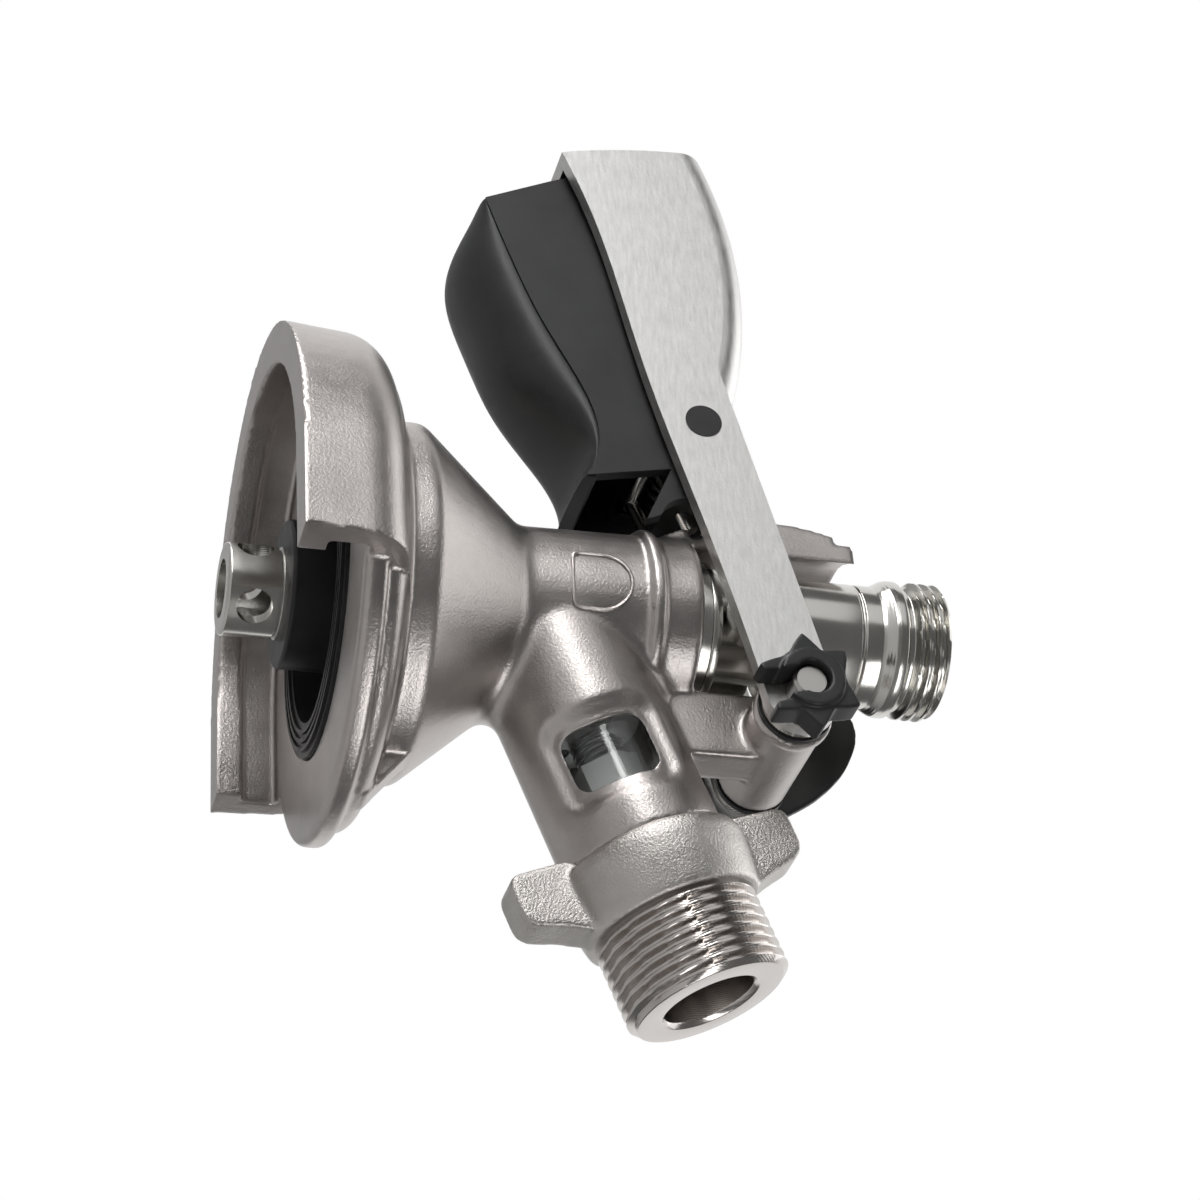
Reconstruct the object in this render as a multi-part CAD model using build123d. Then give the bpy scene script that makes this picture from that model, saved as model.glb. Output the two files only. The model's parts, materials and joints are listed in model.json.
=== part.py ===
"""Flat-fitting keg coupler with a lever-driven probe, a latched grip and a gas check valve.

Frame: the origin is on the probe's axis in the plane of the claw's underside. +Z runs up the
probe to the beer outlet, +X points to the grip, and -X is the side where the claw is open
and where the gas branch and the lever's pivot stand. Lengths are in millimetres.
"""
from build123d import *
from math import atan2, cos, degrees, radians, sin, sqrt, tan
import os

# ---------------------------------------------------------------- clearances
running_gap = 0.05       # radial, a shaft in its bore
slide_gap = 0.3          # sideways, parts that pass each other
seal_gap = 0.02          # radial, a seal beside metal of another body

# ---------------------------------------------------------------- claw and flange plate
slot_half_width = 38.4   # over the lips, where the keg's flange slides in
lip_reach = 2.3
lip_thick = 4.2
claw_wall = 4.5
claw_draft_deg = 4.6
claw_leg_end = 16.0      # the legs run straight this far past the probe's axis
seat_z = 10.2            # underside of the plate, which rests on the keg
plate_stand = 1.1        # past the slot's wall
plate_thick = 3.8
shoulder_step = 2.3      # in from the plate's edge
shoulder_edge_height = 2.9
shoulder_slope_deg = 16.0
shoulder_round = 8.0
small_round = 1.2

# ---------------------------------------------------------------- bell, neck and chamber
bell_r = 29.1
bell_top_z = 23.6
bell_wall = 4.2
cone_top_z = 41.0
neck_waist_r = 14.5
neck_r = 14.9
neck_top_z = 70.0
neck_chamfer = 0.8
bead_z = 62.2
bead_height = 2.2
bead_stand = 0.9
bead_round = 0.7
bell_round = 3.0
neck_round = 4.0
seal_pocket_r = 25.7
seal_pocket_depth = 4.6
neck_bore_r = 12.3
bush_bore_r = 13.0
bush_bottom_z = 54.0
body_seal_inner_r = 20.0
body_seal_stand = 1.0
body_seal_rib_count = 3
rib_half_thick = 2.5

# ---------------------------------------------------------------- gas branch
branch_rise_deg = 19.6
branch_base_z = 45.7
branch_r = 13.2
branch_end = 45.6
branch_fillet = 3.0
gas_bore_r = 7.34
glass_bore_r = 10.6
glass_seat = 21.0
washer_thick = 0.9
glass_r = 10.5
glass_inner_r = 8.6
glass_end = 40.0
window_turn_deg = -15.0
window_start = 26.0
window_end = 36.0
window_half_width = 6.6
window_round = 3.0
scoop_start = 23.2
scoop_end = 40.0
scoop_half_deg = 51.0
scoop_floor_r = 12.2

# ---------------------------------------------------------------- winged gas nipple
spigot_r = 10.5
nut_r = 15.4
nut_length = 11.6
nut_end_r = 14.2
wing_reach = 23.2
wing_half_thick = 3.6
wing_start = 0.4
wing_length = 10.4
wing_lean = 3.4
wing_round = 2.0
gas_thread_r = 13.22
gas_thread_length = 13.4
gas_neck_r = 12.0
gas_neck_length = 0.6
thread_chamfer = 1.2

# ---------------------------------------------------------------- gas check valve
check_seat_thick = 2.0
check_seat_r = 5.2
poppet_head_r = 6.6
poppet_head_thick = 2.6
poppet_body_r = 5.6
poppet_body_length = 5.2
poppet_stem_r = 1.6
poppet_travel = 3.0
check_guide_thick = 2.0
check_guide_boss_r = 3.0
guide_slot_count = 3
check_spring_r = 3.9
check_spring_wire_r = 0.45
check_spring_turn_count = 4

# ---------------------------------------------------------------- pivot bracket, boss and pin
pivot_x = -20.5
pivot_z = 83.9
boss_r = 5.9
boss_half_length = 11.2
boss_flare = 0.6
bracket_back_x = -25.4
bracket_front_x = -13.6
bracket_half_thick = 4.0
pin_r = 2.9
pin_near_end = 20.3
pin_chamfer = 0.5
pivot_ring_r = 6.1
ring_thick = 0.8
ring_gap = 0.1

# ---------------------------------------------------------------- horn and latch
horn_r = 37.7            # about the lever's pivot
horn_top_z = 98.3
horn_foot_z = 64.0
horn_bore_r = 13.7
horn_half_width = 9.0
latch_half_pitch = 6.6
latch_r = 1.2
latch_gap = 0.3
latch_angle_deg = -19.6  # from the pivot, with the lever down
latch_slope_deg = -21.4
latch_reach = 15.8
notch_depth = 2.0
notch_side_gap = 0.5
lever_lift_deg = 40.0

# ---------------------------------------------------------------- lever frame
lever_half_width = 16.0
strap_thick = 2.5
strap_round = 4.6
lever_pad_r = 6.0
end_wall_thick = 2.0
web_start_x = 36.5
web_front = (33.9, 0, 77.4)
web_crest = (64.0, 0, 82.2)
lever_tip_top = (89.6, 0, 77.2)
lever_tip_middle = (88.7, 0, 64.0)
lever_tip_low = (86.1, 0, 51.0)
grip_pin_x = 31.1
grip_pin_z = 71.9
grip_pin_r = 2.5
cap_r = 3.1
cap_thick = 1.0
cap_stand = 0.15
arm_collar_r = 5.8
drive_x = -3.0
drive_z = 79.0
drive_r = 4.9
drive_end_gap = 0.35
groove_side_gap = 0.3

# ---------------------------------------------------------------- grip (squeeze trigger)
grip_half_width = 12.5
grip_wall = 2.0
grip_sweep_r = 55.8      # end of the grip, about its own pin
grip_squeeze_deg = 12.0
grip_boss_r = 3.7
grip_end_low = (76.8, 0, 37.9)
grip_end_corner_z = 49.2
grip_top_z = 62.0
grip_nose = (20.4, 0, 52.3)
grip_shoulder = (36.5, 0, 73.0)
grip_tail_tip = (12.8, 0, 61.9)
grip_step = 0.5
belly_rise = 1.5
belly_stations = [        # x, height of the ridge, depth of the belly under it
    (76.8, 37.9, 1.0), (72.0, 39.4, 4.9), (62.0, 42.55, 8.0), (51.0, 46.7, 8.8),
    (41.0, 51.5, 8.9), (34.0, 54.0, 5.6), (27.0, 54.6, 1.7), (20.4, 52.3, 0.9),
]
latch_slack = 0.15
lug_wall = 1.0
lug_play = 0.6
guide_near_x = 18.2
guide_far_x = 22.2
guide_bottom_z = 66.2
guide_step_z = 71.9
guide_top_z = 77.0
spring_wire_r = 0.5
wire_flat_count = 8
grip_spring_turn_count = 6

# ---------------------------------------------------------------- probe
tube_r = 10.2
collar_r = 11.5
collar_height = 1.5
bush_flange_height = 2.2
collar_gap = 0.1
waist_r = 8.0
tube_bottom_z = 12.4
tube_shoulder_z = 103.0
under_thread_r = 9.95
beer_thread_r = 11.455
beer_thread_bottom_z = 106.2
probe_top_z = 113.2
beer_thread_chamfer = 0.8
beer_bore_r = 4.72
ball_chamber_r = 5.6
ball_seat_z = 88.0
ball_r = 4.9
ball_throat_r = 3.8
throat_length = 2.0
ball_travel = 4.0
retainer_height = 2.4
retainer_r = 6.4
outlet_r = 7.0
outlet_mouth_r = 8.0
outlet_mouth_depth = 4.0
tip_r = 7.4
tip_bottom_z = -5.25
tip_stem_r = 6.4
tip_hole_r = 2.85
tip_hole_z = -0.75
tip_hole_turn_deg = 53.0
tip_groove_z = 3.3
stem_top_z = 18.0
probe_seal_round = 0.6
tip_round = 0.6
probe_seal_r = 11.9
probe_seal_bottom_z = 4.15
ring_section_r = 1.1

# ---------------------------------------------------------------- star clip and thumb wing
clip_r = 8.9
clip_waist_r = 6.6
clip_thick = 5.6
clip_slot_half_width = 2.6
clip_lobe_r = 2.2
clip_open_deg = 255.0
clip_lobe_count = 6
cover_wall = 1.4
cover_tip_reach = 26.4
cover_tip_deg = 50.0
cover_tip_r = 6.0
cover_depth = 4.0
cover_gap = 0.4
cover_gate_from_deg = 48.0
cover_gate_to_deg = -88.0

# ---------------------------------------------------------------- derived places
branch_dir = Vector(-cos(radians(branch_rise_deg)), 0, sin(radians(branch_rise_deg)))
branch_base = Vector(0, 0, branch_base_z)
pivot = Vector(pivot_x, 0, pivot_z)
grip_pin = Vector(grip_pin_x, 0, grip_pin_z)
arm_inner_y = lever_half_width - strap_thick
lip_half_width = slot_half_width - lip_reach
claw_half_width = slot_half_width + claw_wall
plate_r = slot_half_width + plate_stand
plate_top_z = seat_z + plate_thick
shoulder_r = plate_r - shoulder_step
shoulder_edge_z = plate_top_z + shoulder_edge_height
bush_top_z = neck_top_z + bush_flange_height
collar_bottom_z = bush_top_z + collar_gap
groove_bottom_z = collar_bottom_z + collar_height
groove_top_z = drive_z + drive_r + groove_side_gap
cover_back_y = -(lever_half_width + cover_gap + cover_wall)
cover_hub_r = lever_pad_r + slide_gap + cover_wall
clip_near_y = lever_half_width + collar_gap
lever_slope_deg = degrees(atan2(pivot_z - grip_pin_z, grip_pin_x - pivot_x))


def branch_frame(distance, turn_deg=0.0):
    """A location on the branch's axis: local Z runs outward along it, local X stays near +Y."""
    plane = Plane(origin=branch_base + branch_dir * distance, x_dir=(0, 1, 0), z_dir=branch_dir)
    return plane.location * Rot(0, 0, turn_deg)


def branch_tube(outer_r, start, end, inner_r=0.0):
    """A round bar or tube on the branch's axis."""
    bar = Cylinder(outer_r, end - start, align=(Align.CENTER, Align.CENTER, Align.MIN))
    if inner_r > 0:
        bar -= Cylinder(inner_r, end - start, align=(Align.CENTER, Align.CENTER, Align.MIN))
    return branch_frame(start) * bar


def upright(radius, bottom_z, top_z):
    """A round bar on the probe's axis."""
    bar = Cylinder(radius, top_z - bottom_z, align=(Align.CENTER, Align.CENTER, Align.MIN))
    return Pos(0, 0, bottom_z) * bar


def cross_bar(centre, radius, near_y, far_y):
    """A round bar parallel to Y, from far_y to near_y, through a point in the XZ plane."""
    bar = Cylinder(radius, near_y - far_y)
    return Pos(centre.X, (near_y + far_y) / 2, centre.Z) * Rot(90, 0, 0) * bar


def side_plate(outline, near_y, far_y):
    """A flat plate: an outline of (x, z) points in the XZ plane, thick along Y."""
    face = make_face(Polyline(*[(x, 0, z) for x, z in outline], close=True))
    return Pos(0, near_y, 0) * extrude(face, amount=near_y - far_y, dir=(0, -1, 0))


def turned(points):
    """A solid turned about the probe's axis from its (radius, z) outline."""
    face = make_face(Polyline(*[(r, 0, z) for r, z in points], close=True))
    return revolve(face, Axis.Z)


def corner_points(sketch_face, targets):
    """The face's corners that lie nearest to each (x, z) target."""
    found = []
    for x, z in targets:
        corners = sorted(sketch_face.vertices(), key=lambda v: (v.X - x) ** 2 + (v.Z - z) ** 2)
        found.append(corners[0])
    return found


def rounded(face, targets, radius):
    """The face with the corners nearest to the (x, z) targets rounded."""
    return fillet(corner_points(face, targets), radius)


def coil_wire(helix, wire_r):
    """A spring's wire along a helix, with flats that keep its mesh light."""
    section = Plane(origin=helix @ 0, z_dir=helix % 0) * RegularPolygon(wire_r, wire_flat_count)
    return sweep(section, path=helix, is_frenet=True)


# ---------------------------------------------------------------- body
def shoulder_z(radius):
    """Height of the sloping shoulder between claw and bell at a radius."""
    return shoulder_edge_z + (shoulder_r - radius) * tan(radians(shoulder_slope_deg))


def claw_section():
    """Half section of the claw: lip, slot wall, plate and rounded shoulder."""
    draft = tan(radians(claw_draft_deg))
    slope = tan(radians(shoulder_slope_deg))
    corner_r = (claw_half_width - draft * shoulder_z(0)) / (1 - draft * slope)
    points = [
        (lip_half_width, 0), (claw_half_width, 0), (corner_r, shoulder_z(corner_r)),
        (bell_r - 4, shoulder_z(bell_r)), (bell_r - 4, seat_z), (slot_half_width, seat_z),
        (slot_half_width, lip_thick), (lip_half_width, lip_thick),
    ]
    face = make_face(Polyline(*[(r, 0, z) for r, z in points], close=True))
    return rounded(face, [(corner_r, shoulder_z(corner_r))], shoulder_round)


def claw():
    """U-shaped claw: half a turn on the grip side and a straight leg on each side."""
    section = claw_section()
    ring = revolve(section, Axis.Z, 180)
    ring = Rot(0, 0, -90) * ring
    leg = extrude(section, amount=claw_leg_end, dir=(0, 1, 0))
    near_leg = Rot(0, 0, 90) * leg
    far_leg = mirror(near_leg, Plane.XZ)
    return ring + near_leg + far_leg


def bell_and_neck():
    """Round part of the body: plate, shoulder, bell, cone and neck."""
    points = [
        (0, seat_z), (plate_r, seat_z), (plate_r, plate_top_z), (shoulder_r, plate_top_z),
        (shoulder_r, shoulder_edge_z), (bell_r, shoulder_z(bell_r)), (bell_r, bell_top_z),
        (neck_waist_r, cone_top_z), (neck_r, neck_top_z - neck_chamfer),
        (neck_r - neck_chamfer, neck_top_z), (0, neck_top_z),
    ]
    face = make_face(Polyline(*[(r, 0, z) for r, z in points], close=True))
    face = rounded(face, [(plate_r, seat_z), (plate_r, plate_top_z)], small_round)
    face = rounded(face, [(shoulder_r, shoulder_z(shoulder_r)), (bell_r, bell_top_z)], bell_round)
    face = rounded(face, [(neck_waist_r, cone_top_z)], neck_round)
    return revolve(face, Axis.Z)


def bead():
    """Raised ring round the neck."""
    outer = neck_r + bead_stand
    low = bead_z - bead_height / 2
    top = bead_z + bead_height / 2
    points = [(neck_bore_r, low), (outer, low), (outer, top), (neck_bore_r, top)]
    face = make_face(Polyline(*[(r, 0, z) for r, z in points], close=True))
    return revolve(rounded(face, [(outer, low), (outer, top)], bead_round), Axis.Z)


def chamber():
    """Gas chamber, seal pocket, neck bore and bush bore, as one solid to take away."""
    cone_angle = atan2(bell_r - neck_waist_r, cone_top_z - bell_top_z)
    inner_bell_r = bell_r - bell_wall
    inset = bell_wall / cos(cone_angle)
    inner_top_z = bell_top_z - bell_wall * tan((radians(90) - cone_angle) / 2)
    throat_z = cone_top_z - (inset - (neck_waist_r - neck_bore_r)) / tan(cone_angle)
    points = [
        (0, seat_z - 1), (seal_pocket_r, seat_z - 1), (seal_pocket_r, seat_z + seal_pocket_depth),
        (inner_bell_r - 2.4, seat_z + seal_pocket_depth), (inner_bell_r - 2.4, inner_top_z),
        (neck_bore_r, throat_z), (neck_bore_r, bush_bottom_z), (bush_bore_r, bush_bottom_z),
        (bush_bore_r, neck_top_z + 1), (0, neck_top_z + 1),
    ]
    return turned(points)


def window_tool():
    """Straight slot through both sides of the branch."""
    length = window_end - window_start
    slot = RectangleRounded(length, 2 * window_half_width, window_round)
    bar = extrude(slot, amount=branch_r * 2, both=True)
    middle = branch_frame((window_start + window_end) / 2, window_turn_deg)
    return middle * Rot(0, 90, 0) * bar


def scoop_tool():
    """Shallow scoop round the window, on the near and on the far side."""
    reach = branch_r * 2
    ring = Cylinder(reach, scoop_end - scoop_start, align=(Align.CENTER, Align.CENTER, Align.MIN))
    ring -= Cylinder(scoop_floor_r, scoop_end - scoop_start, align=(Align.CENTER, Align.CENTER, Align.MIN))
    half_height = reach * tan(radians(scoop_half_deg))
    wedge = make_face(Polyline((0, 0), (reach, half_height), (reach, -half_height), close=True))
    wedge = extrude(wedge, amount=scoop_end - scoop_start)
    near = ring & wedge
    far = ring & (Rot(0, 0, 180) * wedge)
    return branch_frame(scoop_start, window_turn_deg) * (near + far)


def bracket():
    """Web from the neck and branch up to the pivot boss, with the boss itself."""
    low_z = branch_base_z + 10
    web = side_plate(
        [(bracket_back_x, low_z), (bracket_front_x, low_z), (bracket_front_x, pivot_z - boss_r * 0.5),
         (pivot_x, pivot_z), (bracket_back_x, pivot_z)],
        bracket_half_thick, -bracket_half_thick,
    )
    boss = cross_bar(pivot, boss_r, boss_half_length, -boss_half_length)
    flare = cross_bar(pivot, boss_r + boss_flare, boss_half_length, boss_half_length - 2.0)
    return web + boss + flare


def horn():
    """Latch sector on the grip side of the neck, concentric with the lever's pivot."""
    sector = cross_bar(pivot, horn_r, horn_half_width, -horn_half_width)
    low = Pos(horn_bore_r, 0, (horn_foot_z + horn_top_z) / 2) * Box(
        horn_bore_r, 2 * horn_half_width, horn_top_z - horn_foot_z
    )
    blade = sector & low
    return blade


def horn_notches():
    """A notch for the latch prongs at each end of the lever's swing."""
    half_height = latch_r + notch_side_gap
    cuts = []
    for angle in (latch_angle_deg, latch_angle_deg + lever_lift_deg):
        cut = Pos(horn_r, 0, 0) * Box(2 * notch_depth, 2 * horn_half_width + 2, 2 * half_height)
        cuts.append(Pos(pivot_x, 0, pivot_z) * Rot(0, -angle, 0) * cut)
    return cuts


def plate_rib():
    """Small rib between the plate and the bell on the open side."""
    inner = bell_r - 4
    points = [
        (-inner, plate_top_z - 1), (-shoulder_r + 0.4, plate_top_z - 1), (-shoulder_r + 0.4, 16.8),
        (-bell_r + 1.2, bell_top_z + 0.8), (-inner, bell_top_z + 3.2),
    ]
    return side_plate(points, rib_half_thick, -rib_half_thick)


def make_body():
    """The cast and machined body."""
    core = bell_and_neck()
    branch = branch_tube(branch_r, 0, branch_end)
    shape = core + branch
    shape = fillet(new_edges(core, branch, combined=shape), branch_fillet)
    shape += bead() + bracket() + claw() + plate_rib() + horn()
    shape -= chamber()
    shape -= upright(horn_bore_r, neck_top_z, horn_top_z + 1)
    for cut in horn_notches():
        shape -= cut
    shape -= branch_tube(gas_bore_r, 0, glass_seat + 1)
    shape -= branch_tube(glass_bore_r, glass_seat, branch_end + 1)
    shape -= window_tool()
    shape -= scoop_tool()
    shape -= cross_bar(pivot, pin_r + running_gap, boss_half_length + 1, -boss_half_length - 1)
    return shape


def make_body_seal():
    """Flat rubber seal in the plate's pocket, with raised ribs on its keg side."""
    top_z = seat_z + seal_pocket_depth
    shape = upright(seal_pocket_r, seat_z - body_seal_stand / 2, top_z)
    shape -= upright(body_seal_inner_r, seat_z - body_seal_stand, top_z)
    pitch = (seal_pocket_r - body_seal_inner_r) / (body_seal_rib_count + 1)
    for index in range(body_seal_rib_count):
        middle = body_seal_inner_r + pitch * (index + 1)
        rib = upright(middle + pitch * 0.25, seat_z - body_seal_stand, seat_z)
        rib -= upright(middle - pitch * 0.25, seat_z - body_seal_stand, seat_z)
        shape += rib
    return shape


def make_probe_bush():
    """Guide bush screwed into the neck, with two inner grooves for the rod seals."""
    shape = upright(bush_bore_r, bush_bottom_z, neck_top_z)
    shape += upright(collar_r, neck_top_z, bush_top_z)
    shape -= upright(tube_r + running_gap, bush_bottom_z, bush_top_z)
    for middle_z in rod_seal_places():
        groove = upright(tube_r + 2 * ring_section_r, middle_z - ring_section_r, middle_z + ring_section_r)
        shape -= groove
    return shape


def rod_seal_places():
    """Heights of the two rod seals inside the bush."""
    span = neck_top_z - bush_bottom_z
    return [bush_bottom_z + span * 0.3, bush_bottom_z + span * 0.7]


def make_rod_seals():
    """Two rubber rings that seal the sliding tube in the bush."""
    rings = []
    for middle_z in rod_seal_places():
        outer = upright(tube_r + 2 * ring_section_r, middle_z - ring_section_r, middle_z + ring_section_r)
        rings.append(outer - upright(tube_r + seal_gap, middle_z - ring_section_r, middle_z + ring_section_r))
    return Compound(children=rings)


# ---------------------------------------------------------------- gas branch parts
def make_sight_glass():
    """Clear tube behind the windows."""
    return branch_tube(glass_r, glass_seat + washer_thick, glass_end - washer_thick, glass_inner_r)


def make_glass_washers():
    """Flat rubber washers at the two ends of the sight glass."""
    inner = branch_tube(glass_r, glass_seat, glass_seat + washer_thick, glass_inner_r)
    outer = branch_tube(glass_r, glass_end - washer_thick, glass_end, glass_inner_r)
    return Compound(children=[inner, outer])


def make_check_seat():
    """Seat ring of the check valve, held between the nipple and the outer washer."""
    start = glass_end - washer_thick - check_seat_thick
    shape = branch_tube(glass_inner_r - running_gap, start, glass_end, check_seat_r)
    return shape


def make_check_guide():
    """Spider that guides the poppet's stem and carries the spring."""
    start = glass_seat + washer_thick
    shape = branch_tube(glass_inner_r - running_gap, start, start + check_guide_thick)
    shape -= branch_tube(poppet_stem_r + running_gap, start, start + check_guide_thick)
    slot_r = (glass_inner_r + check_guide_boss_r) / 2
    for index in range(guide_slot_count):
        hole = Cylinder(1.9, check_guide_thick * 3)
        place = Rot(0, 0, 360 / guide_slot_count * index) * Pos(slot_r, 0, 0)
        shape -= branch_frame(start + check_guide_thick / 2) * place * hole
    return shape


def poppet_face():
    """Where the poppet's head closes on the seat ring."""
    return glass_end - washer_thick - check_seat_thick - collar_gap


def make_check_poppet():
    """Poppet: head, faceted body and stem."""
    face = poppet_face()
    head = branch_tube(poppet_head_r, face - poppet_head_thick, face)
    body_end = face - poppet_head_thick
    facets = extrude(RegularPolygon(poppet_body_r, 6), amount=poppet_body_length)
    body = branch_frame(body_end - poppet_body_length) * facets
    stem_start = glass_seat + washer_thick
    stem = branch_tube(poppet_stem_r, stem_start, body_end)
    return head + body + stem


def make_check_spring():
    """Coil spring between the guide and the poppet's body."""
    start = glass_seat + washer_thick + check_guide_thick + check_spring_wire_r
    end = poppet_face() - poppet_head_thick - poppet_body_length - check_spring_wire_r
    pitch = (end - start) / check_spring_turn_count
    helix = Helix(pitch, end - start, check_spring_r - check_spring_wire_r)
    return branch_frame(start) * coil_wire(helix, check_spring_wire_r)


def make_gas_nipple():
    """Winged nut with spigot, gas thread and through bore."""
    nut_start = branch_end
    nut_end = nut_start + nut_length
    thread_end = nut_end + gas_neck_length + gas_thread_length
    profile = [
        (gas_bore_r, glass_end), (spigot_r, glass_end), (spigot_r, nut_start), (nut_r, nut_start),
        (nut_r, nut_start + nut_length * 0.45), (nut_end_r, nut_end), (gas_neck_r, nut_end),
        (gas_neck_r, nut_end + gas_neck_length), (gas_thread_r, nut_end + gas_neck_length),
        (gas_thread_r, thread_end - thread_chamfer), (gas_thread_r - thread_chamfer, thread_end),
        (gas_bore_r, thread_end),
    ]
    face = make_face(Polyline(*[(r, 0, z) for r, z in profile], close=True))
    shape = branch_frame(0) * revolve(face, Axis.Z)
    wing = wing_plate(nut_start)
    core = branch_tube(nut_r - 1.5, nut_start, nut_end)
    shape += wing - core
    return shape


def wing_plate(nut_start):
    """Both wings of the nut as one flat plate through its axis."""
    low = nut_start + wing_start
    high = low + wing_length
    outline = Polyline(
        (-wing_reach, low + wing_lean), (0, low), (wing_reach, low + wing_lean),
        (wing_reach, high - 0.4), (0, high), (-wing_reach, high - 0.4), close=True,
    )
    face = make_face(outline)
    tips = [v for v in face.vertices() if abs(v.X) > wing_reach - 1]
    face = fillet(tips, wing_round)
    plate = extrude(face, amount=wing_half_thick, both=True)
    plate = Rot(90, 0, 0) * plate
    plate = fillet(plate.edges().filter_by(lambda e: abs(e.center().X) > wing_reach - wing_round), 0.9)
    return branch_frame(0) * Rot(0, 0, 90) * plate


# ---------------------------------------------------------------- lever and its pivot
def lever_outline():
    """Side outline of the lever, as a closed face in the XZ plane."""
    angle = radians(lever_slope_deg)
    normal = Vector(sin(angle), 0, cos(angle)) * lever_pad_r
    along = Vector(cos(angle), 0, -sin(angle)) * lever_pad_r
    low_end = (pivot - normal)
    top_end = (pivot + normal)
    lower = Spline(lever_tip_low, (67.2, 0, 57.1), (40.6, 0, 62.6), (15.5, 0, 69.1), low_end)
    tail = ThreePointArc(low_end, (pivot - along), top_end)
    arm_top = Line(top_end, web_front)
    web_top = ThreePointArc(web_front, web_crest, lever_tip_top)
    end = ThreePointArc(lever_tip_top, lever_tip_middle, lever_tip_low)
    return make_face([lower, tail, arm_top, web_top, end])


def lever_hollow():
    """The space under the web, open downwards and towards the pivot."""
    def inset(point, dx, dz):
        return (point[0] + dx, 0, point[2] + dz)

    front = (web_start_x, 0, web_front[2] - strap_thick)
    crest = inset(web_crest, 0, -strap_thick)
    top = inset(lever_tip_top, -end_wall_thick, -strap_thick)
    middle = inset(lever_tip_middle, -end_wall_thick, 0)
    low = inset(lever_tip_low, -end_wall_thick, 0)
    below = inset(low, 0, -10)
    web = ThreePointArc(front, crest, top)
    end = ThreePointArc(top, middle, low)
    rest = Polyline(low, below, (web_start_x, 0, below[2]), front)
    hollow = extrude(make_face([web, end, rest]), amount=arm_inner_y, both=True)
    inner_round = strap_round - strap_thick
    edges = [e for e in hollow.edges() if on_arm_face(e, arm_inner_y) and is_web_edge(e)]
    return fillet(edges, inner_round)


def on_arm_face(edge, half_width):
    """True for an edge that lies in either side face of the lever."""
    return abs(abs(edge.center().Y) - half_width) < 0.01


def is_web_edge(edge):
    """True for the long top edges of the web."""
    return edge.center().X > web_start_x + 5 and edge.center().Z > web_front[2]


def make_lever_frame():
    """Stainless strap: two arms joined by a top web and an end wall."""
    shape = extrude(lever_outline(), amount=lever_half_width, both=True)
    edges = [e for e in shape.edges() if on_arm_face(e, lever_half_width) and is_web_edge(e)]
    shape = fillet(edges, strap_round)
    shape -= lever_hollow()
    between_arms = Pos(web_start_x - 50, 0, pivot_z) * Box(100, 2 * arm_inner_y, 100)
    shape -= between_arms
    shape -= cross_bar(pivot, pin_r + running_gap, lever_half_width + 1, -lever_half_width - 1)
    shape -= cross_bar(grip_pin, grip_pin_r, lever_half_width + 1, -lever_half_width - 1)
    seat = lever_half_width - cap_thick
    shape -= cross_bar(grip_pin, cap_r, lever_half_width + 1, seat)
    shape -= cross_bar(grip_pin, cap_r, -seat, -lever_half_width - 1)
    return shape


def both_sides(build):
    """The same piece on the near and on the far side."""
    near = build()
    return Compound(children=[near, mirror(near, Plane.XZ)])


def make_arm_collars():
    """Collars on the inner face of each arm, beside the pivot boss."""
    inner_end = boss_half_length + ring_thick + ring_gap

    def collar():
        bar = cross_bar(pivot, arm_collar_r, arm_inner_y, inner_end)
        return bar - cross_bar(pivot, pin_r + running_gap, arm_inner_y, inner_end)

    return both_sides(collar)


def make_pivot_rings():
    """Black rings between the boss and the arm collars."""
    def ring():
        bar = cross_bar(pivot, pivot_ring_r, boss_half_length + ring_thick, boss_half_length)
        return bar - cross_bar(pivot, pin_r, boss_half_length + ring_thick, boss_half_length)

    return both_sides(ring)


def make_drive_studs():
    """Stub pins on the inside of the arms that push the probe up and down."""
    centre = Vector(drive_x, 0, drive_z)
    return both_sides(lambda: cross_bar(centre, drive_r, arm_inner_y, waist_r + drive_end_gap))


def make_pivot_pin():
    """Pin through the boss and both arms, seated in the thumb cover."""
    pin = cross_bar(pivot, pin_r, pin_near_end, cover_back_y)
    rim = [e for e in pin.edges() if abs(e.center().Y - pin_near_end) < 0.01]
    return chamfer(rim, pin_chamfer)


def make_star_clip():
    """Six-lobed clip that slides on to the pin from the side."""
    star = Circle(clip_waist_r)
    lobe_reach = clip_r - clip_lobe_r
    for index in range(clip_lobe_count):
        turn = Rot(0, 0, clip_open_deg + 360 / clip_lobe_count * (index + 0.5))
        spoke = Rectangle(lobe_reach, 2 * clip_lobe_r, align=(Align.MIN, Align.CENTER))
        star += turn * (spoke + Pos(lobe_reach, 0) * Circle(clip_lobe_r))
    star -= Circle(pin_r)
    mouth = Rectangle(clip_r, 2 * clip_slot_half_width, align=(Align.MIN, Align.CENTER))
    star -= Rot(0, 0, clip_open_deg) * mouth
    clip = extrude(star, amount=clip_thick)
    return Pos(pivot_x, clip_near_y + clip_thick, pivot_z) * Rot(90, 0, 0) * clip


def cover_outline(shrink):
    """Leaf shape round the pivot with its tip towards the thumb."""
    hub = Circle(cover_hub_r - shrink)
    reach = cover_tip_reach - cover_tip_r
    tip = Rot(0, 0, cover_tip_deg) * Pos(reach, 0) * Circle(cover_tip_r - shrink)
    return make_hull([*hub.edges(), *tip.edges()])


def cover_gate():
    """Where the cover's rim is left out, so that the far arm can swing."""
    reach = 2 * cover_tip_reach
    corners = [(0, 0)]
    for share in (0, 0.35, 0.7, 1):
        angle = radians(cover_gate_from_deg + (cover_gate_to_deg - cover_gate_from_deg) * share)
        corners.append((reach * cos(angle), reach * sin(angle)))
    return make_face(Polyline(*corners, close=True))


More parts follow.
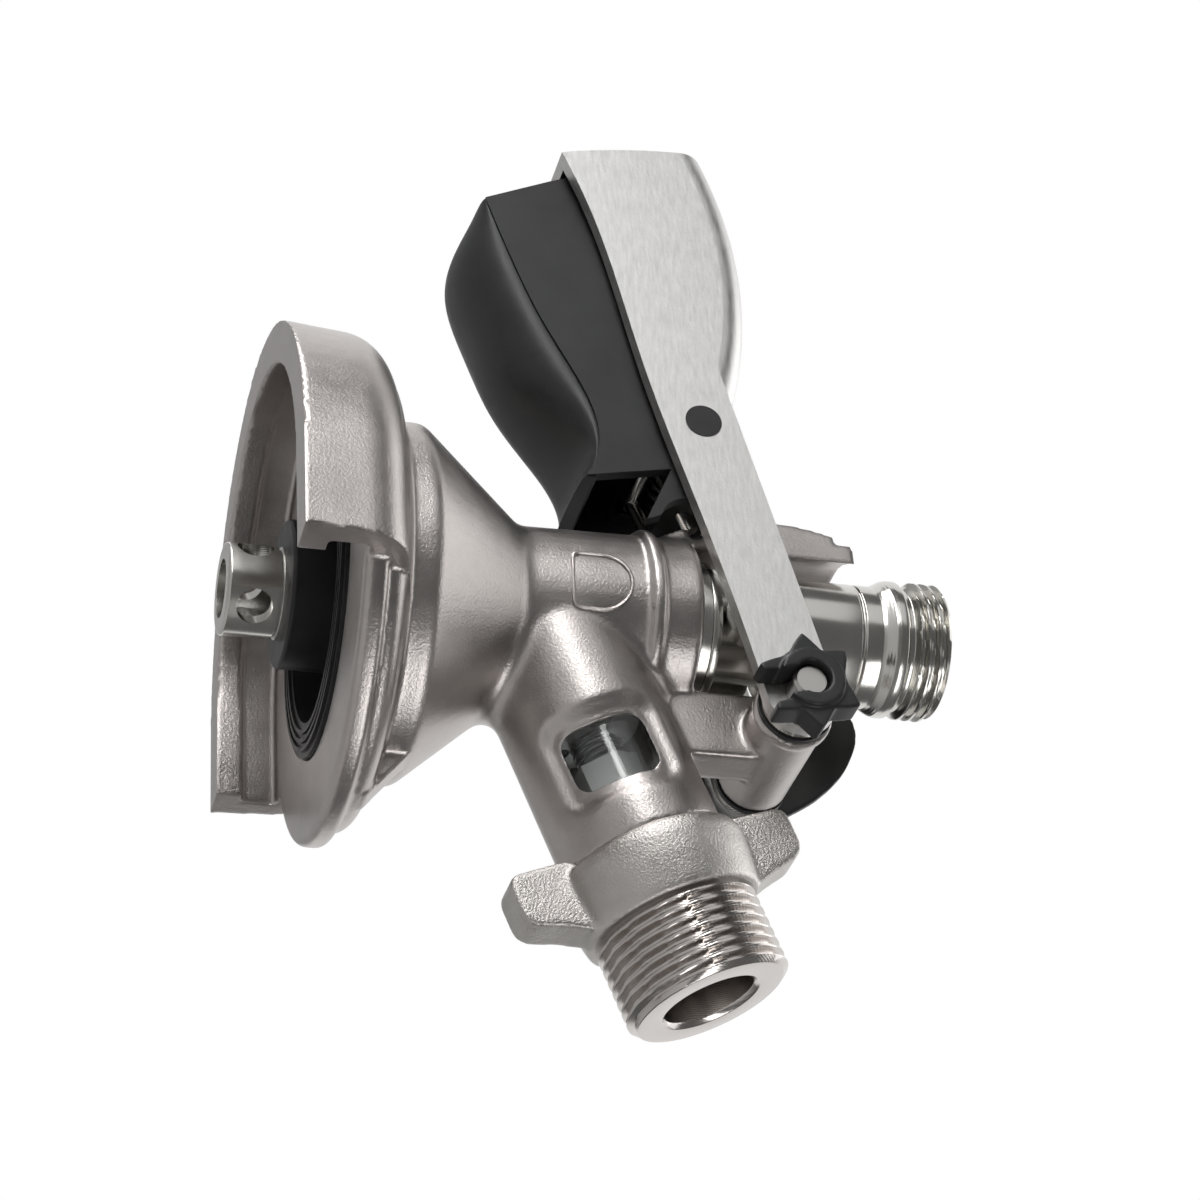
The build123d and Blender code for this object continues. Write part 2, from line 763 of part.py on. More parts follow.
def make_thumb_cover():
    """Black cup on the far end of the pin, open towards the arm on its grip side."""
    cup = extrude(cover_outline(0), amount=cover_wall + cover_depth)
    cup -= Pos(0, 0, cover_wall) * extrude(cover_outline(cover_wall), amount=cover_depth)
    cup -= Pos(0, 0, cover_wall) * extrude(cover_gate(), amount=cover_depth)
    cup = Pos(pivot_x, cover_back_y, pivot_z) * Rot(90, 0, 0) * mirror(cup, Plane.XY)
    return cup - cross_bar(pivot, pin_r, 0, cover_back_y)


# ---------------------------------------------------------------- grip and latch
def grip_ridge():
    """Edge between the side walls and the belly, from the grip's end to its nose."""
    return Spline(grip_end_low, (61.2, 0, 42.8), (51.0, 0, 46.7), (41.0, 0, 51.5), (31.0, 0, 54.8), grip_nose)


def about_grip_pin(radius, z):
    """A point at a radius from the grip's pin, on its far side, at a height."""
    return (grip_pin_x + sqrt(radius ** 2 - (z - grip_pin_z) ** 2), 0, z)


def grip_side():
    """Outline of one side wall with its hinge ear and its tail."""
    end_corner = about_grip_pin(grip_sweep_r, grip_end_corner_z)
    end_middle = about_grip_pin(grip_sweep_r, (grip_end_corner_z + grip_top_z) / 2)
    end_top = about_grip_pin(grip_sweep_r, grip_top_z)
    ear_top = (grip_pin_x + 1.2, 0, grip_pin_z + grip_boss_r - 0.2)
    ear_back = (grip_pin_x - grip_boss_r, 0, grip_pin_z)
    edges = [
        grip_ridge(),
        Polyline(grip_nose, (23.3, 0, 66.8), grip_tail_tip, (13.9, 0, 64.4)),
        ThreePointArc((13.9, 0, 64.4), (16.9, 0, 66.6), (17.6, 0, 70.2)),
        Polyline((17.6, 0, 70.2), (24.2, 0, 70.6), ear_back, ear_top, grip_shoulder, end_top),
        ThreePointArc(end_top, end_middle, end_corner),
        Line(end_corner, grip_end_low),
    ]
    return make_face(edges)


def belly_loft(half_width, shrink, rise, stations):
    """Belly between the side walls: half-elliptic sections that run on upwards by a rise."""
    sections = []
    for x, ridge_z, depth in stations:
        plane = Plane(origin=(x, 0, ridge_z), x_dir=(0, 1, 0), z_dir=(-1, 0, 0))
        bowl = plane * EllipticalCenterArc((0, 0), half_width, depth - shrink, arc_size=180)
        top = Polyline(
            (x, -half_width, ridge_z), (x, -half_width, ridge_z + rise),
            (x, half_width, ridge_z + rise), (x, half_width, ridge_z),
        )
        sections.append(make_face([bowl, top]))
    return loft(sections)


def make_grip_trigger():
    """Hollow black grip: finger belly, side walls with ears and tails, and latch lugs."""
    outer = extrude(grip_side(), amount=grip_half_width, both=True)
    inner_y = grip_half_width - grip_wall
    room = cross_bar(grip_pin, grip_sweep_r - grip_wall, inner_y, -inner_y)
    room -= Pos(grip_end_low[0] - grip_wall + 50, 0, 0) * Box(100, 100, 2 * grip_end_corner_z)
    shape = outer - room
    shape += belly_loft(grip_half_width - grip_step, 0, belly_rise, belly_stations)
    shape -= belly_loft(inner_y - grip_step, grip_wall, 4 * belly_rise, belly_stations[1:-2])
    ear = cross_bar(grip_pin, grip_boss_r, inner_y, inner_y - grip_wall)
    shape += ear + mirror(ear, Plane.XZ)
    lug = latch_lug(inner_y)
    shape += lug + mirror(lug, Plane.XZ)
    shape -= cross_bar(grip_pin, grip_pin_r + running_gap, grip_half_width + 1, -grip_half_width - 1)
    return shape


def latch_lug(inner_y):
    """Slotted lug inside a side wall that pulls the latch's cross bar."""
    bar = latch_bar_centre()
    slot_half = latch_r + latch_slack
    block = Pos(bar.X, inner_y - grip_wall / 2, bar.Z) * Box(
        2 * (slot_half + lug_wall), grip_wall, 2 * (slot_half + lug_play + lug_wall)
    )
    slot = Pos(bar.X, inner_y - grip_wall / 2, bar.Z) * Box(
        2 * slot_half, grip_wall, 2 * (slot_half + lug_play)
    )
    return block - slot


def latch_line(distance):
    """A point on the latch's line of travel, measured from the prongs' tips."""
    tip_angle = radians(latch_angle_deg)
    tip = pivot + Vector(cos(tip_angle), 0, sin(tip_angle)) * (horn_r + latch_gap)
    slope = radians(latch_slope_deg)
    return tip + Vector(cos(slope), 0, sin(slope)) * distance


def latch_bar_centre():
    """Centre of the latch's cross bar."""
    return latch_line(latch_reach)


def latch_prong(radius, start, end, y):
    """A round prong on the latch's line of travel."""
    rod = Cylinder(radius, end - start, align=(Align.CENTER, Align.CENTER, Align.MIN))
    place = latch_line(start)
    return Pos(place.X, y, place.Z) * Rot(0, 90 - latch_slope_deg, 0) * rod


def make_latch_fork():
    """Two steel prongs joined by a cross bar that rides in the grip's lugs."""
    bar_half = grip_half_width - grip_wall - slide_gap
    shape = cross_bar(latch_bar_centre(), latch_r, bar_half, -bar_half)
    for y in (latch_half_pitch, -latch_half_pitch):
        shape += latch_prong(latch_r, 0, latch_reach, y)
    return shape


def make_latch_guide():
    """Black bridge between the arms that guides the latch's prongs."""
    middle_x = (guide_near_x + guide_far_x) / 2
    width = guide_far_x - guide_near_x
    bar = Pos(middle_x, 0, (guide_step_z + guide_top_z) / 2) * Box(
        width, 2 * arm_inner_y, guide_top_z - guide_step_z
    )
    low_half = grip_half_width - grip_wall - slide_gap
    stem = Pos(middle_x, 0, (guide_bottom_z + guide_step_z) / 2) * Box(
        width, 2 * low_half, guide_step_z - guide_bottom_z
    )
    shape = bar + stem
    for y in (latch_half_pitch, -latch_half_pitch):
        shape -= latch_prong(latch_r + running_gap, 0, latch_reach, y)
    return shape


def make_grip_pin():
    """Steel pin of the grip's hinge."""
    half = lever_half_width - cap_thick
    return cross_bar(grip_pin, grip_pin_r, half, -half)


def make_pin_caps():
    """Black caps that close the ends of the grip's pin."""
    def cap():
        return cross_bar(grip_pin, cap_r, lever_half_width + cap_stand, lever_half_width - cap_thick)

    return both_sides(cap)


def make_grip_spring():
    """Torsion spring round the grip's pin."""
    half = grip_half_width - 2 * grip_wall - slide_gap - spring_wire_r
    coil_r = grip_pin_r + slide_gap + spring_wire_r
    helix = Helix(2 * half / grip_spring_turn_count, 2 * half, coil_r)
    return Pos(grip_pin_x, half, grip_pin_z) * Rot(90, 0, 0) * coil_wire(helix, spring_wire_r)


# ---------------------------------------------------------------- probe
def make_probe_tube():
    """Sliding tube with collar, drive groove and beer thread."""
    outside = [
        (tip_stem_r, tube_bottom_z), (tube_r, tube_bottom_z), (tube_r, collar_bottom_z),
        (collar_r, collar_bottom_z), (collar_r, groove_bottom_z), (waist_r, groove_bottom_z),
        (waist_r, groove_top_z), (tube_r, groove_top_z), (tube_r, tube_shoulder_z),
        (under_thread_r, tube_shoulder_z + 0.5), (under_thread_r, beer_thread_bottom_z),
        (beer_thread_r, beer_thread_bottom_z), (beer_thread_r, probe_top_z - beer_thread_chamfer),
        (beer_thread_r - beer_thread_chamfer, probe_top_z),
    ]
    retainer_low = retainer_bottom_z()
    retainer_top = retainer_low + retainer_height
    inside = [
        (outlet_mouth_r, probe_top_z), (outlet_r, probe_top_z - outlet_mouth_depth),
        (outlet_r, retainer_top), (retainer_r, retainer_top), (retainer_r, retainer_low),
        (ball_chamber_r, retainer_low), (ball_chamber_r, ball_seat_z), (ball_throat_r, ball_seat_z),
        (ball_throat_r, ball_seat_z - throat_length), (beer_bore_r, ball_seat_z - throat_length),
        (beer_bore_r, stem_top_z), (tip_stem_r, stem_top_z),
    ]
    return turned(outside + inside)


def make_probe_tip():
    """Screwed-in tip with four cross holes."""
    stem = upright(tip_stem_r, probe_seal_bottom_z, stem_top_z)
    nose = upright(tip_r, tip_bottom_z, probe_seal_bottom_z)
    nose = fillet(nose.edges().group_by(Axis.Z)[0], tip_round)
    shape = nose + stem
    groove = upright(tip_r, tip_groove_z - 0.35, tip_groove_z + 0.35)
    shape -= groove - upright(tip_r - 0.5, tip_groove_z - 0.35, tip_groove_z + 0.35)
    shape -= upright(beer_bore_r, tip_bottom_z, stem_top_z)
    for angle in (tip_hole_turn_deg, tip_hole_turn_deg + 90):
        hole = Rot(0, 0, angle) * Rot(0, 90, 0) * Cylinder(tip_hole_r, 4 * tip_r)
        shape -= Pos(0, 0, tip_hole_z) * hole
    return shape


def make_probe_seal():
    """Rubber seal that pushes the keg's valve open."""
    shape = upright(probe_seal_r, probe_seal_bottom_z, tube_bottom_z)
    rim = [e for e in shape.edges() if e.center().Z < probe_seal_bottom_z + 0.01]
    shape = fillet(rim, probe_seal_round)
    return shape - upright(tip_stem_r, probe_seal_bottom_z, tube_bottom_z)


def ball_centre_z():
    """Height of the check ball's centre when it lies on its seat."""
    return ball_seat_z + sqrt((ball_r + running_gap) ** 2 - ball_throat_r ** 2)


def make_beer_ball():
    """Check ball in the beer line."""
    return Pos(0, 0, ball_centre_z()) * Sphere(ball_r)


def retainer_bottom_z():
    """Underside of the ring that stops the raised check ball."""
    return ball_centre_z() + ball_r + ball_travel + running_gap


def make_ball_retainer():
    """Ring that keeps the check ball in its chamber."""
    low = retainer_bottom_z()
    ring = upright(retainer_r, low, low + retainer_height)
    return ring - upright(ball_throat_r, low, low + retainer_height)


makers = {
    "coupler_body": make_body,
    "body_seal": make_body_seal,
    "probe_bush": make_probe_bush,
    "rod_seals": make_rod_seals,
    "sight_glass": make_sight_glass,
    "glass_washers": make_glass_washers,
    "check_seat": make_check_seat,
    "check_guide": make_check_guide,
    "check_poppet": make_check_poppet,
    "check_spring": make_check_spring,
    "gas_nipple": make_gas_nipple,
    "lever_frame": make_lever_frame,
    "arm_collars": make_arm_collars,
    "pivot_rings": make_pivot_rings,
    "drive_studs": make_drive_studs,
    "pivot_pin": make_pivot_pin,
    "star_clip": make_star_clip,
    "thumb_cover": make_thumb_cover,
    "grip_trigger": make_grip_trigger,
    "latch_fork": make_latch_fork,
    "latch_guide": make_latch_guide,
    "grip_pin": make_grip_pin,
    "pin_caps": make_pin_caps,
    "grip_spring": make_grip_spring,
    "probe_tube": make_probe_tube,
    "probe_tip": make_probe_tip,
    "probe_seal": make_probe_seal,
    "beer_ball": make_beer_ball,
    "ball_retainer": make_ball_retainer,
}

os.makedirs("parts", exist_ok=True)
for name, build in makers.items():
    export_step(build(), f"parts/{name}.step")
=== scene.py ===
"""Looks of the keg coupler: finishes, casting, pipe threads, clip, cover, studio and camera.

Everything is in metres in the coupler's own frame: the origin is on the probe's axis in the
plane of the claw's underside, +Z runs up the probe, +X points to the grip.
"""
import json
import math

import bmesh
import bpy
from mathutils import Matrix, Vector


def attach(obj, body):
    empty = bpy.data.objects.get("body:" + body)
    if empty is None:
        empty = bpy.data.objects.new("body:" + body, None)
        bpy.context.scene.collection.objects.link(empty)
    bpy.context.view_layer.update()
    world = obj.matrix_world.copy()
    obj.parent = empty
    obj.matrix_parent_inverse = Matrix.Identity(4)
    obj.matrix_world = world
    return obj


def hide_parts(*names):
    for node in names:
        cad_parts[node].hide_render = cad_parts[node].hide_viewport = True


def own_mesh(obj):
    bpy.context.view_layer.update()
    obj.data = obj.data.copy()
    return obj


mm = 0.001
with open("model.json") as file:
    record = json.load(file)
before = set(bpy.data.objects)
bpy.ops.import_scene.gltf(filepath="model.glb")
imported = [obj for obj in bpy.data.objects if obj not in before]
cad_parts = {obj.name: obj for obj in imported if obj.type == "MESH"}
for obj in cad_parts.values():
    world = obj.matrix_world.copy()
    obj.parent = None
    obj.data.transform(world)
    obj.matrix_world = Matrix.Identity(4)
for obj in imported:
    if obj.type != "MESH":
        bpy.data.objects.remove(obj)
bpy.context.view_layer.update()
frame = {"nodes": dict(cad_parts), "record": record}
nodes = frame["nodes"]


# ---------------------------------------------------------------- node building
class Nodes:
    """Short calls for building a node tree."""

    def __init__(self, tree):
        self.tree = tree

    def add(self, kind, settings=None, **inputs):
        """A node with its settings, and with values or links for its inputs."""
        node = self.tree.nodes.new(kind)
        for name, value in (settings or {}).items():
            setattr(node, name, value)
        for name, value in inputs.items():
            self.feed(node.inputs[self.find(node.inputs, name)], value)
        return node

    @staticmethod
    def find(sockets, name):
        """Index of the enabled socket whose name matches, with _ standing for a space."""
        wanted = name.replace("_", " ").lower()
        for index, socket in enumerate(sockets):
            if socket.enabled and socket.name.lower() == wanted:
                return index
        return int(wanted.removeprefix("in "))

    def feed(self, socket, value):
        """Links an output to the socket, or sets its plain value."""
        if isinstance(value, bpy.types.NodeSocket):
            self.tree.links.new(value, socket)
        else:
            socket.default_value = value

    def maths(self, operation, *values, clamp=False):
        """Output of a Math node."""
        node = self.tree.nodes.new("ShaderNodeMath")
        node.operation = operation
        node.use_clamp = clamp
        for index, value in enumerate(values):
            self.feed(node.inputs[index], value)
        return node.outputs[0]

    def span(self, value, low, high, out_low, out_high):
        """Value moved from one range to another, held inside the new one."""
        node = self.add("ShaderNodeMapRange", Value=value)
        for index, limit in enumerate((low, high, out_low, out_high)):
            node.inputs[index + 1].default_value = limit
        return node.outputs[0]

    def mix(self, factor, first, second):
        """Colour mixed between two by a factor."""
        node = self.tree.nodes.new("ShaderNodeMix")
        node.data_type = "RGBA"
        self.feed(node.inputs[0], factor)
        self.feed(node.inputs[6], first)
        self.feed(node.inputs[7], second)
        return node.outputs[2]


def new_group(name, inputs, outputs):
    """An empty shader group with named float inputs and outputs; returns its builder and ends."""
    tree = bpy.data.node_groups.new(name, "ShaderNodeTree")
    for socket, value in inputs.items():
        made = tree.interface.new_socket(socket, in_out="INPUT", socket_type="NodeSocketFloat")
        made.default_value = value
    for socket in outputs:
        tree.interface.new_socket(socket, in_out="OUTPUT", socket_type="NodeSocketFloat")
    build = Nodes(tree)
    return tree, build, build.add("NodeGroupInput"), build.add("NodeGroupOutput")


def blast_group():
    """Fine pits of bead blasting with a slow mottle over them."""
    tree, build, given, result = new_group("blasted_skin", {"Grain": 1.0}, ("Height", "Mottle"))
    place = build.add("ShaderNodeTexCoord").outputs["Object"]
    fine_scale = build.maths("MULTIPLY", given.outputs["Grain"], 2600.0)
    fine = build.add("ShaderNodeTexNoise", Vector=place, Scale=fine_scale, Detail=3.0, Roughness=0.6)
    slow_scale = build.maths("MULTIPLY", given.outputs["Grain"], 120.0)
    slow = build.add("ShaderNodeTexNoise", Vector=place, Scale=slow_scale, Detail=4.0, Roughness=0.65)
    build.feed(result.inputs["Height"], fine.outputs[0])
    build.feed(result.inputs["Mottle"], build.span(slow.outputs[0], 0.3, 0.7, 0.0, 1.0))
    return tree


def stroke_group():
    """Long fine strokes along one direction, as left by a brushing belt."""
    tree, build, given, result = new_group(
        "brushed_strokes", {"Along X": 60.0, "Along Y": 60.0, "Along Z": 60.0}, ("Height", "Streak")
    )
    place = build.add("ShaderNodeTexCoord").outputs["Object"]
    stretch = build.add("ShaderNodeCombineXYZ")
    for axis in "XYZ":
        build.feed(stretch.inputs[axis], given.outputs["Along " + axis])
    scaled = build.add(
        "ShaderNodeVectorMath", {"operation": "MULTIPLY"}, in_0=place, in_1=stretch.outputs[0]
    )
    strokes = build.add(
        "ShaderNodeTexNoise", Vector=scaled.outputs[0], Scale=1.0, Detail=4.0, Roughness=0.7
    )
    build.feed(result.inputs["Height"], strokes.outputs[0])
    build.feed(result.inputs["Streak"], build.span(strokes.outputs[0], 0.32, 0.68, 0.0, 1.0))
    return tree


full_turn = 6.2832


def ring_group():
    """Turning rings round an axis through a given place, seen as a fine ripple."""
    tree, build, given, result = new_group(
        "turning_rings", {"Centre A": 0.0, "Centre B": 0.0, "Pitch": 0.0003, "Across Y": 0.0}, ("Height",)
    )
    place = build.add("ShaderNodeTexCoord").outputs["Object"]
    split = build.add("ShaderNodeSeparateXYZ", Vector=place)
    across = given.outputs["Across Y"]
    first = build.maths("SUBTRACT", split.outputs["X"], given.outputs["Centre A"])
    turned_y = build.maths("MULTIPLY", split.outputs["Z"], across)
    plain_y = build.maths("MULTIPLY", split.outputs["Y"], build.maths("SUBTRACT", 1.0, across))
    second = build.maths("SUBTRACT", build.maths("ADD", turned_y, plain_y), given.outputs["Centre B"])
    first_squared = build.maths("MULTIPLY", first, first)
    squared = build.maths("ADD", first_squared, build.maths("MULTIPLY", second, second))
    radius = build.maths("DIVIDE", build.maths("SQRT", squared), given.outputs["Pitch"])
    build.feed(result.inputs["Height"], build.maths("SINE", build.maths("MULTIPLY", radius, full_turn)))
    return tree


groups = {"blast": blast_group(), "strokes": stroke_group(), "rings": ring_group()}


def use_group(build, name, **inputs):
    """A placed copy of one of the shared groups."""
    node = build.tree.nodes.new("ShaderNodeGroup")
    node.node_tree = groups[name]
    for socket, value in inputs.items():
        build.feed(node.inputs[socket], value)
    return node


def new_material(name):
    """A material with its Principled shader; returns material, builder and shader."""
    material = bpy.data.materials.new(name)
    material.use_nodes = True
    build = Nodes(material.node_tree)
    shader = material.node_tree.nodes["Principled BSDF"]
    return material, build, shader


def blasted_steel(name, grain, depth, dark, light, smooth, rough):
    """Bead-blasted stainless casting, from a fine satin to a coarse grain."""
    material, build, shader = new_material(name)
    skin = use_group(build, "blast", Grain=grain)
    mottle = skin.outputs["Mottle"]
    build.feed(shader.inputs["Base Color"], build.mix(mottle, dark, light))
    build.feed(shader.inputs["Roughness"], build.span(mottle, 0.0, 1.0, smooth, rough))
    shader.inputs["Metallic"].default_value = 1.0
    bump = build.add("ShaderNodeBump", Strength=depth, Distance=0.0002, Height=skin.outputs["Height"])
    build.feed(shader.inputs["Normal"], bump.outputs[0])
    return material


def turned_steel(name, centre, across_y, smooth, rough, colour):
    """Turned stainless steel with fine tool rings and a slow change of gloss."""
    material, build, shader = new_material(name)
    rings = use_group(
        build, "rings", **{"Centre A": centre[0], "Centre B": centre[1], "Across Y": across_y}
    )
    skin = use_group(build, "blast", Grain=0.4)
    worn = tuple(0.9 * c for c in colour[:3]) + (1,)
    build.feed(shader.inputs["Base Color"], build.mix(skin.outputs["Mottle"], worn, colour))
    build.feed(shader.inputs["Roughness"], build.span(skin.outputs["Mottle"], 0.0, 1.0, smooth, rough))
    shader.inputs["Metallic"].default_value = 1.0
    bump = build.add("ShaderNodeBump", Strength=0.05, Distance=0.0001, Height=rings.outputs["Height"])
    build.feed(shader.inputs["Normal"], bump.outputs[0])
    return material


def brushed_steel():
    """Light brushed steel of the lever, its strokes running along the arms."""
    material, build, shader = new_material("brushed_steel")
    strokes = use_group(build, "strokes", **{"Along X": 260.0, "Along Y": 1500.0, "Along Z": 1500.0})
    skin = use_group(build, "blast", Grain=0.7)
    streak = strokes.outputs["Streak"]
    colour = build.mix(streak, (0.62, 0.615, 0.60, 1), (0.76, 0.755, 0.74, 1))
    build.feed(shader.inputs["Base Color"], colour)
    build.feed(shader.inputs["Roughness"], build.span(streak, 0.0, 1.0, 0.34, 0.46))
    shader.inputs["Metallic"].default_value = 1.0
    height = build.maths("ADD", strokes.outputs["Height"], skin.outputs["Height"])
    bump = build.add("ShaderNodeBump", Strength=0.2, Distance=0.0001, Height=height)
    build.feed(shader.inputs["Normal"], bump.outputs[0])
    return material


def moulded(name, dark, light, smooth, rough, depth, grain):
    """Moulded plastic or rubber with a fine spark-eroded skin."""
    material, build, shader = new_material(name)
    skin = use_group(build, "blast", Grain=grain)
    mottle = skin.outputs["Mottle"]
    build.feed(shader.inputs["Base Color"], build.mix(mottle, dark, light))
    build.feed(shader.inputs["Roughness"], build.span(mottle, 0.0, 1.0, smooth, rough))
    bump = build.add("ShaderNodeBump", Strength=depth, Distance=0.0001, Height=skin.outputs["Height"])
    build.feed(shader.inputs["Normal"], bump.outputs[0])
    return material


def clear_glass():
    """Clear sight glass, a little clouded in use."""
    material, build, shader = new_material("clear_glass")
    skin = use_group(build, "blast", Grain=0.5)
    shader.inputs["Base Color"].default_value = (0.97, 0.99, 0.99, 1)
    build.feed(shader.inputs["Roughness"], build.span(skin.outputs["Mottle"], 0.0, 1.0, 0.01, 0.06))
    shader.inputs["Transmission Weight"].default_value = 1.0
    shader.inputs["IOR"].default_value = 1.47
    return material


pivot_x = -20.5 * mm
pivot_z = 83.9 * mm
cast_steel = blasted_steel(
    "cast_steel", grain=0.9, depth=0.33,
    dark=(0.44, 0.41, 0.395, 1), light=(0.55, 0.515, 0.495, 1), smooth=0.29, rough=0.37
)
rough_casting = blasted_steel(
    "rough_casting", grain=1.0, depth=0.8,
    dark=(0.50, 0.475, 0.45, 1), light=(0.62, 0.595, 0.57, 1), smooth=0.30, rough=0.40
)
probe_axis = (0.0, 0.0)
turned_probe = turned_steel(
    "turned_probe", probe_axis, across_y=0.0, smooth=0.16, rough=0.25, colour=(0.66, 0.645, 0.61, 1)
)
turned_pin = turned_steel(
    "turned_pin", (pivot_x, pivot_z), across_y=1.0, smooth=0.26, rough=0.36, colour=(0.52, 0.51, 0.49, 1)
)
spring_steel = turned_steel(
    "spring_steel", probe_axis, across_y=0.0, smooth=0.3, rough=0.4, colour=(0.22, 0.215, 0.21, 1)
)
thread_steel = turned_steel(
    "thread_steel", probe_axis, across_y=0.0, smooth=0.15, rough=0.24, colour=(0.60, 0.565, 0.54, 1)
)

finishes = {
    "satin_steel": cast_steel,
    "cast_steel": cast_steel,
    "brushed_steel": brushed_steel(),
    "polished_steel": turned_probe,
    "rubber": moulded(
        "rubber", dark=(0.006, 0.006, 0.007, 1), light=(0.013, 0.013, 0.014, 1),
        smooth=0.38, rough=0.5, depth=0.1, grain=1.0
    ),
    "black_plastic": moulded(
        "black_plastic", dark=(0.012, 0.012, 0.013, 1), light=(0.02, 0.02, 0.021, 1),
        smooth=0.36, rough=0.46, depth=0.12, grain=1.0
    ),
    "clear_glass": clear_glass(),
    "white_plastic": moulded(
        "white_plastic", dark=(0.70, 0.70, 0.68, 1), light=(0.80, 0.80, 0.78, 1),
        smooth=0.25, rough=0.35, depth=0.05, grain=1.0
    ),
}

for part in frame["record"]["subparts"]:
    mesh = nodes[part["node"]].data
    mesh.materials.clear()
    mesh.materials.append(finishes[part["material_slot"]])

nodes["pivot_pin"].data.materials[0] = turned_pin
nodes["grip_spring"].data.materials[0] = spring_steel

# ---------------------------------------------------------------- shapes
def axes_frame(x_axis, y_axis, z_axis):
    """Frame at the origin whose axes point along three directions."""
    return Matrix((x_axis, y_axis, z_axis)).transposed().to_4x4()


def placed(name, data):
    """An object of the scene made from its data."""
    made = bpy.data.objects.new(name, data)
    bpy.context.scene.collection.objects.link(made)
    return made


branch_rise = math.radians(19.6)
branch_base_z = 45.7 * mm
along_branch = Vector((-math.cos(branch_rise), 0, math.sin(branch_rise)))
under_branch = Vector((-math.sin(branch_rise), 0, -math.cos(branch_rise)))
branch = Matrix.Translation((0, 0, branch_base_z)) @ axes_frame(
    Vector((0, 1, 0)), under_branch, along_branch
)
branch_r = 13.2 * mm
branch_end = 45.6 * mm
upright = Matrix.Identity(4)
from_side = axes_frame(Vector((1, 0, 0)), Vector((0, 0, 1)), Vector((0, -1, 0)))
pipe_pitch = 1.814 * mm
pipe_depth = 1.12 * mm
thread_step = pipe_pitch / 14
thread_reach = 1.6 * mm
thread_turn_steps = 160


sharp_angle = math.radians(38)
same_place = 0.001 * mm


def new_piece(name, verts, faces, place, material, body, slot, *stands_for):
    """A mesh object with one finish, riding on a body in place of CAD nodes."""
    mesh = bpy.data.meshes.new(name)
    mesh.from_pydata([place @ Vector(v) for v in verts], [], faces)
    piece = placed(name, mesh)
    finish_piece(piece, material, body, slot, *stands_for)
    return piece


def finish_piece(piece, material, body, slot, *stands_for):
    """Sets the finish, outward faces, smooth shading and body of a piece; the slot is not used."""
    mesh = piece.data
    shape = bmesh.new()
    shape.from_mesh(mesh)
    bmesh.ops.remove_doubles(shape, verts=shape.verts, dist=same_place)
    bmesh.ops.recalc_face_normals(shape, faces=shape.faces)
    shape.to_mesh(mesh)
    shape.free()
    mesh.materials.clear()
    mesh.materials.append(material)
    mesh.shade_smooth()
    mesh.set_sharp_from_angle(angle=sharp_angle)
    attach(piece, body)
    if stands_for:
        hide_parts(*stands_for)


def lathe(outline, steps=128, groove=None):
    """Points and faces of a closed outline of (radius, height) turned round the z axis."""
    verts = []
    for step in range(steps):
        turn = math.tau * step / steps
        for radius, height in outline:
            cut_r = groove(radius, height, turn) if groove else radius
            verts.append((cut_r * math.cos(turn), cut_r * math.sin(turn), height))
    count = len(outline)
    faces = []
    for step in range(steps):
        following = (step + 1) % steps
        for index in range(count):
            after = (index + 1) % count
            faces.append(
                (step * count + index, following * count + index,
                 following * count + after, step * count + after)
            )
    return verts, faces


def eased(outline, size):
    """The same outline in metres, each corner cut back to a small bevel of three points."""
    points = [Vector(p) * mm for p in outline]
    result = []
    for index, corner in enumerate(points):
        before = points[index - 1] - corner
        after = points[(index + 1) % len(points)] - corner
        cut = min(size * mm, before.length * 0.4, after.length * 0.4)
        start = corner + before.normalized() * cut
        end = corner + after.normalized() * cut
        middle = (start + end) * 0.25 + corner * 0.5
        result += [tuple(start), tuple(middle), tuple(end)]
    return result


def divided(outline, low, high, radius, step):
    """Adds points to the straight run at a radius; the two heights are not used."""
    result = []
    for index, point in enumerate(outline):
        result.append(point)
        after = outline[(index + 1) % len(outline)]
        on_run = all(abs(p[0] - radius) < 0.01 * mm for p in (point, after))
        if on_run and after[1] - point[1] > step:
            count = int((after[1] - point[1]) / step)
            result += [
                (radius, point[1] + (after[1] - point[1]) * part / count) for part in range(1, count)
            ]
    return result


def pipe_groove(start, end, crest_r):
    """Rounded pipe thread: a helical groove that runs out at its start."""
    def groove(radius, height, turn):
        if radius < crest_r - thread_reach or not start <= height <= end:
            return radius
        phase = (height / pipe_pitch - turn / math.tau) * math.tau
        depth = pipe_depth * min(1.0, max(0.0, 0.5 - 0.68 * math.cos(phase)))
        return min(radius, crest_r - depth)
    return groove


def run_modifiers(piece):
    """Replaces the mesh of a piece by what its modifiers make of it."""
    graph = bpy.context.evaluated_depsgraph_get()
    made = bpy.data.meshes.new_from_object(piece.evaluated_get(graph))
    piece.modifiers.clear()
    piece.data = made


def loose_solid(name, verts, faces, place):
    """A mesh object that only serves to make another."""
    mesh = bpy.data.meshes.new(name)
    mesh.from_pydata([place @ Vector(v) for v in verts], [], faces)
    shape = bmesh.new()
    shape.from_mesh(mesh)
    bmesh.ops.recalc_face_normals(shape, faces=shape.faces)
    shape.to_mesh(mesh)
    shape.free()
    return placed(name, mesh)


def cut_away(piece, tool):
    """Cuts one solid out of another and removes the tool."""
    cut = piece.modifiers.new("cut", "BOOLEAN")
    cut.operation = "DIFFERENCE"
    cut.solver = "EXACT"
    cut.object = tool
    run_modifiers(piece)
    bpy.data.objects.remove(tool)


def lighten(piece, share):
    """Drops the faces that a nearly flat stretch of skin doesn't need."""
    fewer = piece.modifiers.new("fewer", "DECIMATE")
    fewer.ratio = share
    run_modifiers(piece)


